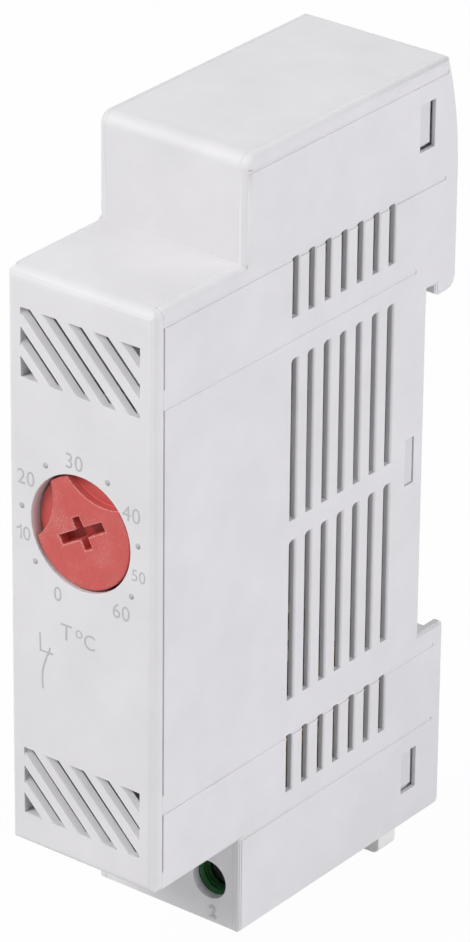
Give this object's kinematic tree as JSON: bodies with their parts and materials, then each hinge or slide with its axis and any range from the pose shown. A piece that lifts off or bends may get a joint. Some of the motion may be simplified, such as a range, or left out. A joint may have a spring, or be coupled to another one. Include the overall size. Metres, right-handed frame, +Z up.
{
  "type": "rail-mounted panel thermostat",
  "caption": "Slim rail-mounted control-panel thermostat with a red setting dial, louvred light grey housing, screw clamps at the foot and a sprung rail clip.",
  "frame": {"origin": "middle of the flat seat at the rear of the housing that lies against a 35 mm mounting rail", "axes": "front face with the dial looks along -Y, +Y points from the seat into the rail, +Z is up, width along X"},
  "size_m": [0.0176, 0.0466, 0.0889],
  "materials": {
    "housing": "fine matt moulded surface",
    "clip": "smooth matt",
    "dial": "satin moulded",
    "block": "matt moulded",
    "insulator": "smooth",
    "brass": "as stamped",
    "steel": "zinc plated",
    "dark_steel": "blackened",
    "spring_steel": "drawn wire",
    "bimetal": "rolled strip",
    "spring_bronze": "rolled strip",
    "contact": "polished silver alloy",
    "plated": "nickel plated",
    "magnet": "ground"
  },
  "bodies": {
    "housing": {"housing_frame": "housing", "side_cover_left": "housing", "side_cover_right": "housing", "clip_spring": "spring_steel", "spindle_bushing": "brass", "bushing_nut": "brass", "friction_washer": "steel", "mechanism_bracket": "steel", "bracket_screws": "dark_steel", "lever_pin": "dark_steel", "fixed_contact": "contact", "snap_magnet": "magnet", "load_bar": "brass", "line_bar": "brass", "terminal_block": "block"},
    "rail_clip": {"rail_clip": "clip"},
    "dial": {"dial_knob": "dial", "dial_spindle": "steel", "retaining_ring": "dark_steel"},
    "pressure_nut": {"pressure_nut": "brass"},
    "lever": {"setting_lever": "steel", "bimetal_strip": "bimetal", "bimetal_rivets": "steel", "calibration_screw": "brass", "bimetal_pusher": "insulator"},
    "contact_arm": {"contact_arm": "spring_bronze", "moving_contact": "contact", "armature_plate": "dark_steel"},
    "screw_left": {"terminal_screw_left": "steel"},
    "screw_right": {"terminal_screw_right": "steel"},
    "cage_left": {"clamp_cage_left": "plated"},
    "cage_right": {"clamp_cage_right": "plated"}
  },
  "joints": [
    {"name": "dial_turn", "type": "hinge", "parent": "housing", "child": "dial", "pos_m": [0, -0.03793, 0.00485], "axis": [0, 1, 0], "range_deg": [-123, 183]},
    {"name": "nut_travel", "type": "slide", "parent": "housing", "child": "pressure_nut", "axis": [0, 1, 0], "range_m": [-0.00051, 0.00076]},
    {"name": "lever_tilt", "type": "hinge", "parent": "housing", "child": "lever", "pos_m": [0, -0.02193, -0.0133], "axis": [-1, 0, 0], "range_deg": [-1.7, 2.5]},
    {"name": "contact_rock", "type": "hinge", "parent": "housing", "child": "contact_arm", "pos_m": [0, -0.0045, -0.02248], "axis": [1, 0, 0], "range_deg": [0, 2.4], "stiffness_Nm_per_rad": 0.005, "springref_deg": -1.72},
    {"name": "screw_left_turn", "type": "hinge", "parent": "housing", "child": "screw_left", "pos_m": [-0.00496, -0.02593, -0.03666], "axis": [0, 1, 0], "range_deg": [0, 2160.1]},
    {"name": "cage_left_slide", "type": "slide", "parent": "housing", "child": "cage_left", "axis": [0, -1, 0], "range_m": [0, 0.003]},
    {"name": "screw_right_turn", "type": "hinge", "parent": "housing", "child": "screw_right", "pos_m": [0.00496, -0.02593, -0.03666], "axis": [0, 1, 0], "range_deg": [0, 2160.1]},
    {"name": "cage_right_slide", "type": "slide", "parent": "housing", "child": "cage_right", "axis": [0, -1, 0], "range_m": [0, 0.003]},
    {"name": "clip_slide", "type": "slide", "parent": "housing", "child": "rail_clip", "axis": [0, 0, -1], "range_m": [0, 0.0035], "stiffness_N_per_m": 800, "springref_m": -0.001, "deforming": ["clip_spring"]}
  ],
  "couplings": [
    {"joint": "dial_turn", "follows": "nut_travel", "rad_per_m": 4188.8},
    {"joint": "lever_tilt", "follows": "nut_travel", "rad_per_m": 55.096},
    {"joint": "screw_left_turn", "follows": "cage_left_slide", "rad_per_m": 12566},
    {"joint": "screw_right_turn", "follows": "cage_right_slide", "rad_per_m": 12566}
  ]
}
